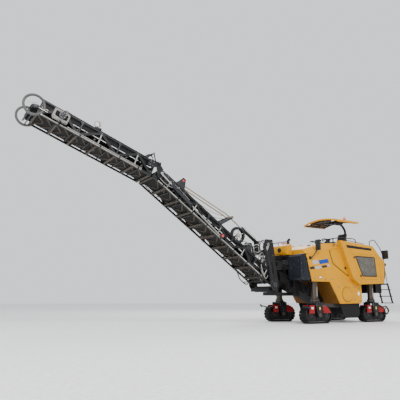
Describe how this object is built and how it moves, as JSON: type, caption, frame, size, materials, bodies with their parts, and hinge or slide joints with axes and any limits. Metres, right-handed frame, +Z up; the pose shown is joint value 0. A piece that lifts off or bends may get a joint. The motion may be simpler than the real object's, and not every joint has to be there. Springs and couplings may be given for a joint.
{
  "type": "cold planer milling machine",
  "caption": "Cold planer with a milling drum between steered crawler units on lifting legs and a slewing, luffing and folding front discharge conveyor.",
  "frame": {"origin": "centre of the base of the whole machine, on the ground", "axes": "+X forward along the conveyor, +Y to the machine's left, +Z up"},
  "size_m": [13.4316, 2.68, 6.0349],
  "materials": {
    "yellow": "semi-gloss paint",
    "shaded_yellow": "dusty paint",
    "graphite": "satin paint",
    "black": "satin paint",
    "red": "semi-gloss paint",
    "steel": "worn",
    "drum_steel": "worn",
    "grey": "satin paint",
    "belt": "matt",
    "tread": "matt",
    "engine": "painted",
    "seat": "soft"
  },
  "bodies": {
    "chassis": {"main_frame": "black", "drum_housing": "shaded_yellow", "intake_conveyor": "black", "side_panel_left": "yellow", "side_panel_right": "yellow", "hood": "yellow", "engine": "engine", "rear_body": "yellow", "rear_box_left": "yellow", "rear_box_right": "yellow", "front_box_left": "graphite", "front_box_right": "graphite", "front_cover": "yellow", "operator_seat": "seat", "handrail": "black", "canopy": "yellow", "canopy_post": "black", "ladder": "black", "mirror_left": "black", "mirror_right": "black", "rear_mirror_left": "black", "rear_mirror_right": "black"},
    "leg_front_left": {"leg_front_left": "steel"},
    "track_front_left": {"track_front_left": "tread", "track_frame_front_left": "black", "track_guard_front_left": "red"},
    "leg_front_right": {"leg_front_right": "steel"},
    "track_front_right": {"track_front_right": "tread", "track_frame_front_right": "black", "track_guard_front_right": "red"},
    "leg_rear_left": {"leg_rear_left": "steel"},
    "track_rear_left": {"track_rear_left": "tread", "track_frame_rear_left": "black", "track_guard_rear_left": "red"},
    "leg_rear_right": {"leg_rear_right": "steel"},
    "track_rear_right": {"track_rear_right": "tread", "track_frame_rear_right": "black", "track_guard_rear_right": "red"},
    "drum": {"milling_drum": "drum_steel"},
    "scraper": {"scraper": "black"},
    "skid_left": {"side_skid_left": "black"},
    "flap_left": {"service_flap_left": "yellow"},
    "door_left": {"grille_door_left": "yellow"},
    "skid_right": {"side_skid_right": "black"},
    "flap_right": {"service_flap_right": "yellow"},
    "door_right": {"grille_door_right": "yellow"},
    "slew": {"yoke": "grey"},
    "lower": {"lower_frame": "black", "lower_belt": "belt", "rocker": "grey", "stay_rope": "steel"},
    "upper": {"upper_frame": "black", "upper_belt": "belt", "drive_motor": "graphite"},
    "luff_barrel": {"luff_barrel": "black"},
    "luff_rod": {"luff_rod": "steel"},
    "fold_barrel": {"fold_barrel": "grey"},
    "fold_rod": {"fold_rod": "steel"}
  },
  "joints": [
    {"name": "height_front_left", "type": "slide", "parent": "chassis", "child": "leg_front_left", "axis": [0, 0, -1], "range_m": [-0.12, 0.3]},
    {"name": "steer_front_left", "type": "hinge", "parent": "leg_front_left", "child": "track_front_left", "pos_m": [-2.94581, 0.895, 0], "axis": [0, 0, 1], "range_deg": [-25, 25]},
    {"name": "height_front_right", "type": "slide", "parent": "chassis", "child": "leg_front_right", "axis": [0, 0, -1], "range_m": [-0.12, 0.3]},
    {"name": "steer_front_right", "type": "hinge", "parent": "leg_front_right", "child": "track_front_right", "pos_m": [-2.94581, -0.895, 0], "axis": [0, 0, 1], "range_deg": [-25, 25]},
    {"name": "height_rear_left", "type": "slide", "parent": "chassis", "child": "leg_rear_left", "axis": [0, 0, -1], "range_m": [-0.12, 0.3]},
    {"name": "steer_rear_left", "type": "hinge", "parent": "leg_rear_left", "child": "track_rear_left", "pos_m": [-5.74581, 0.895, 0], "axis": [0, 0, 1], "range_deg": [-20, 20]},
    {"name": "height_rear_right", "type": "slide", "parent": "chassis", "child": "leg_rear_right", "axis": [0, 0, -1], "range_m": [-0.12, 0.3]},
    {"name": "steer_rear_right", "type": "hinge", "parent": "leg_rear_right", "child": "track_rear_right", "pos_m": [-5.74581, -0.895, 0], "axis": [0, 0, 1], "range_deg": [-20, 20]},
    {"name": "drum_spin", "type": "hinge", "parent": "chassis", "child": "drum", "pos_m": [-4.32581, 0, 0.94], "axis": [0, 1, 0], "continuous": true},
    {"name": "scraper_swing", "type": "hinge", "parent": "chassis", "child": "scraper", "pos_m": [-5.03081, 0, 1.36], "axis": [0, 1, 0], "range_deg": [0, 60]},
    {"name": "skid_slide_left", "type": "slide", "parent": "chassis", "child": "skid_left", "axis": [0, 0, 1], "range_m": [0, 0.25]},
    {"name": "flap_swing_left", "type": "hinge", "parent": "chassis", "child": "flap_left", "pos_m": [-3.54581, 1.08, 2.44], "axis": [0.979, 0, -0.204], "range_deg": [0, 85]},
    {"name": "door_swing_left", "type": "hinge", "parent": "chassis", "child": "door_left", "pos_m": [-5.95581, 1.2623, 1.5], "axis": [0, 0, 1], "range_deg": [0, 110]},
    {"name": "skid_slide_right", "type": "slide", "parent": "chassis", "child": "skid_right", "axis": [0, 0, 1], "range_m": [0, 0.25]},
    {"name": "flap_swing_right", "type": "hinge", "parent": "chassis", "child": "flap_right", "pos_m": [-3.54581, -1.08, 2.44], "axis": [-0.979, 0, 0.204], "range_deg": [0, 85]},
    {"name": "door_swing_right", "type": "hinge", "parent": "chassis", "child": "door_right", "pos_m": [-5.95581, -1.2623, 1.5], "axis": [0, 0, -1], "range_deg": [0, 110]},
    {"name": "conveyor_slew", "type": "hinge", "parent": "chassis", "child": "slew", "pos_m": [-1.82581, 0, 0], "axis": [0, 0, 1], "range_deg": [-45, 45]},
    {"name": "conveyor_luff", "type": "hinge", "parent": "slew", "child": "lower", "pos_m": [-1.49581, 0, 1.25], "axis": [0, -1, 0], "range_deg": [-25, 0]},
    {"name": "conveyor_fold", "type": "hinge", "parent": "lower", "child": "upper", "pos_m": [2.77093, 0, 4.6844], "axis": [0, -1, 0], "range_deg": [0, 130]},
    {"name": "luff_barrel_swing", "type": "hinge", "parent": "slew", "child": "luff_barrel", "pos_m": [-1.24581, 0, 2.65], "axis": [0, -1, 0], "range_deg": [-37, 1]},
    {"name": "luff_rod_slide", "type": "slide", "parent": "luff_barrel", "child": "luff_rod", "axis": [0.8206, 0, 0.5715], "range_m": [-0.01, 0.558]},
    {"name": "fold_barrel_swing", "type": "hinge", "parent": "lower", "child": "fold_barrel", "pos_m": [1.71116, 0, 3.55659], "axis": [0, -1, 0], "range_deg": [-1, 6]},
    {"name": "fold_rod_slide", "type": "slide", "parent": "fold_barrel", "child": "fold_rod", "axis": [0.771, 0, 0.6369], "range_m": [-0.01, 0.54]}
  ],
  "couplings": [
    {"joint": "steer_front_right", "follows": "steer_front_left", "ratio": 1},
    {"joint": "steer_rear_right", "follows": "steer_rear_left", "ratio": 1},
    {"joint": "luff_barrel_swing", "follows": "conveyor_luff", "ratio": 1.4028},
    {"joint": "luff_rod_slide", "follows": "conveyor_luff", "m_per_rad": -1.257},
    {"joint": "fold_barrel_swing", "follows": "conveyor_fold", "ratio": 0.034776},
    {"joint": "fold_rod_slide", "follows": "conveyor_fold", "m_per_rad": 0.23353}
  ]
}
